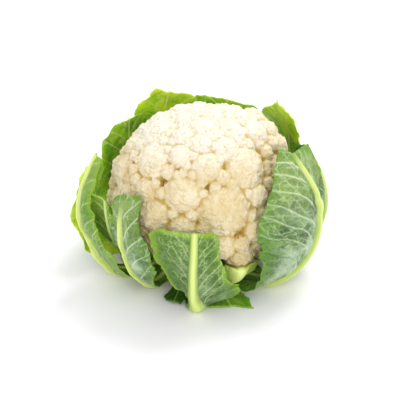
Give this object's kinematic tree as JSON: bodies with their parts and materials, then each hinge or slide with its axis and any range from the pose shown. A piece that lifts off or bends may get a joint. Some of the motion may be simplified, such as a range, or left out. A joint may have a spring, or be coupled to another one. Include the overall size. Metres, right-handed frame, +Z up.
{
  "type": "cauliflower",
  "caption": "Head of cauliflower with a dense cream curd of florets on a short cut stalk, wrapped by ribbed green leaves with waved and trimmed edges, resting upright.",
  "frame": {"origin": "centre of the stalk's flat cut face, on the surface the head rests on", "axes": "+Z up through the top of the curd; -Y towards the low trimmed front leaf; +X towards the largest leaf"},
  "size_m": [0.2323, 0.1925, 0.1599],
  "materials": {
    "curd": "matt cream, finely granular",
    "stalk": "satin pale green with a cut face",
    "leaf_stub": "waxy leaf with a pale midrib",
    "leaf_left_inner": "waxy leaf with a pale midrib",
    "leaf_base_left": "waxy leaf with a pale midrib",
    "leaf_back_left": "waxy leaf with a pale midrib",
    "leaf_back_right": "waxy leaf with a pale midrib",
    "leaf_front_left": "waxy leaf with a pale midrib",
    "leaf_far_right": "waxy leaf with a pale midrib",
    "leaf_left_back": "waxy leaf with a pale midrib",
    "leaf_back": "waxy leaf with a pale midrib",
    "leaf_right_back": "waxy leaf with a pale midrib",
    "leaf_left": "waxy leaf with a pale midrib",
    "leaf_front": "waxy leaf with a pale midrib",
    "leaf_right": "waxy leaf with a pale midrib",
    "leaf_base_right": "waxy leaf with a pale midrib"
  },
  "bodies": {
    "root": {"curd": "curd", "stalk": "stalk", "leaf_stub": "leaf_stub", "leaf_left_inner": "leaf_left_inner", "leaf_base_left": "leaf_base_left", "leaf_back_left": "leaf_back_left", "leaf_back_right": "leaf_back_right", "leaf_front_left": "leaf_front_left", "leaf_far_right": "leaf_far_right", "leaf_left_back": "leaf_left_back", "leaf_back": "leaf_back", "leaf_right_back": "leaf_right_back", "leaf_left": "leaf_left", "leaf_front": "leaf_front", "leaf_right": "leaf_right", "leaf_base_right": "leaf_base_right"}
  },
  "joints": []
}
